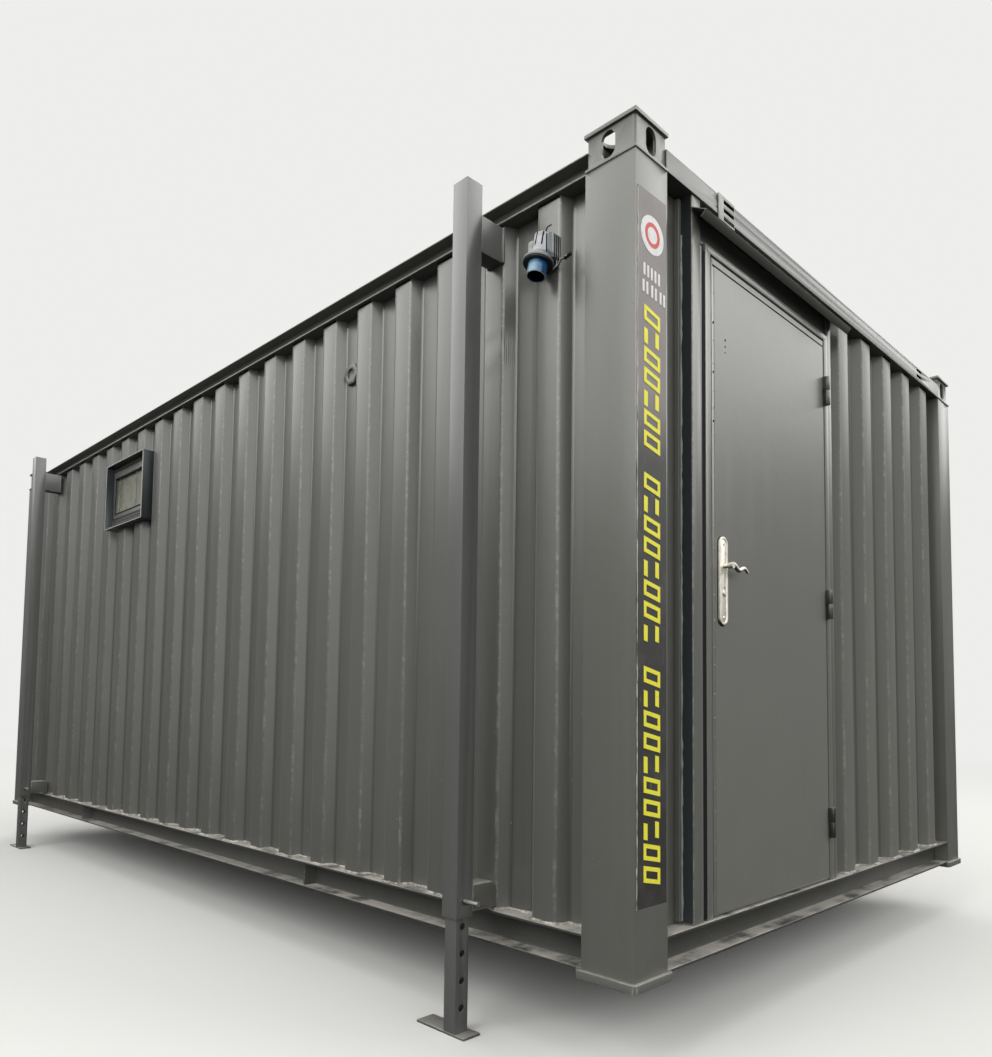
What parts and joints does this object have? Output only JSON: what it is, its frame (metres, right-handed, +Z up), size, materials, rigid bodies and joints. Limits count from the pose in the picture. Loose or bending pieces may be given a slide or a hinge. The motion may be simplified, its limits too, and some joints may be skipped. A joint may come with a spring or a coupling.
{
  "type": "portable site cabin",
  "caption": "Corrugated steel site cabin with a hinged door, side window and pinned jack legs.",
  "frame": {"origin": "on the ground under the middle of the cabin, level with the soles of the jack feet", "axes": "+Z up; +Y from the door end to the rear end; +X to the right seen from in front of the door"},
  "size_m": [3.043, 5.5469, 2.663],
  "materials": {
    "frame_steel": "satin grey paint, worn at edges",
    "wall_steel": "satin grey paint on corrugated sheet",
    "door_steel": "satin grey paint",
    "jack_steel": "satin grey paint, scratched",
    "pin_steel": "bare zinc-plated steel",
    "fitting_steel": "satin nickel",
    "deck_wood": "phenolic-faced plywood",
    "roof_steel": "satin grey paint",
    "glass": "tinted pane",
    "inlet_plastic": "light grey moulding",
    "seal_rubber": "black moulding",
    "shroud_plastic": "blue moulding"
  },
  "bodies": {
    "cabin": {"corner_posts": "frame_steel", "corner_base_plates": "frame_steel", "corner_heads": "frame_steel", "base_side_beams": "frame_steel", "base_end_beams": "frame_steel", "floor_joists": "frame_steel", "floor_deck": "deck_wood", "top_side_rails": "frame_steel", "top_end_headers": "frame_steel", "vent_plate": "frame_steel", "left_wall": "wall_steel", "right_wall": "wall_steel", "rear_wall": "wall_steel", "front_wall_left": "wall_steel", "front_wall_right": "wall_steel", "door_lintel": "frame_steel", "door_portal": "frame_steel", "door_frame": "door_steel", "door_threshold": "door_steel", "roof": "roof_steel", "hinge_frame_barrels": "door_steel", "door_canopy": "frame_steel", "window_surround": "frame_steel", "window_frame": "frame_steel", "window_glass": "glass", "jack_sleeves": "jack_steel", "jack_legs": "jack_steel", "jack_pins": "pin_steel", "jack_upper_brackets": "jack_steel", "jack_lower_brackets": "jack_steel", "inlet_plate": "seal_rubber", "inlet_shroud": "shroud_plastic", "inlet_housing": "inlet_plastic", "inlet_core": "seal_rubber", "jack_feet": "jack_steel", "inlet_catch": "pin_steel", "vent_boss": "frame_steel"},
    "door": {"door_leaf": "door_steel", "hinge_leaf_barrels": "door_steel", "door_backplates": "fitting_steel", "lock_cylinder": "fitting_steel"},
    "lever": {"lever_handles": "fitting_steel"}
  },
  "joints": [
    {"name": "door_hinge", "type": "hinge", "parent": "cabin", "child": "door", "pos_m": [-0.1235, -2.747, 1.374], "axis": [0, 0, 1], "range_deg": [0, 110]},
    {"name": "lever_turn", "type": "hinge", "parent": "door", "child": "lever", "pos_m": [-0.8965, -2.742, 1.419], "axis": [0, 1, 0], "range_deg": [0, 40], "stiffness_Nm_per_rad": 0.8, "springref_deg": -28.65}
  ]
}
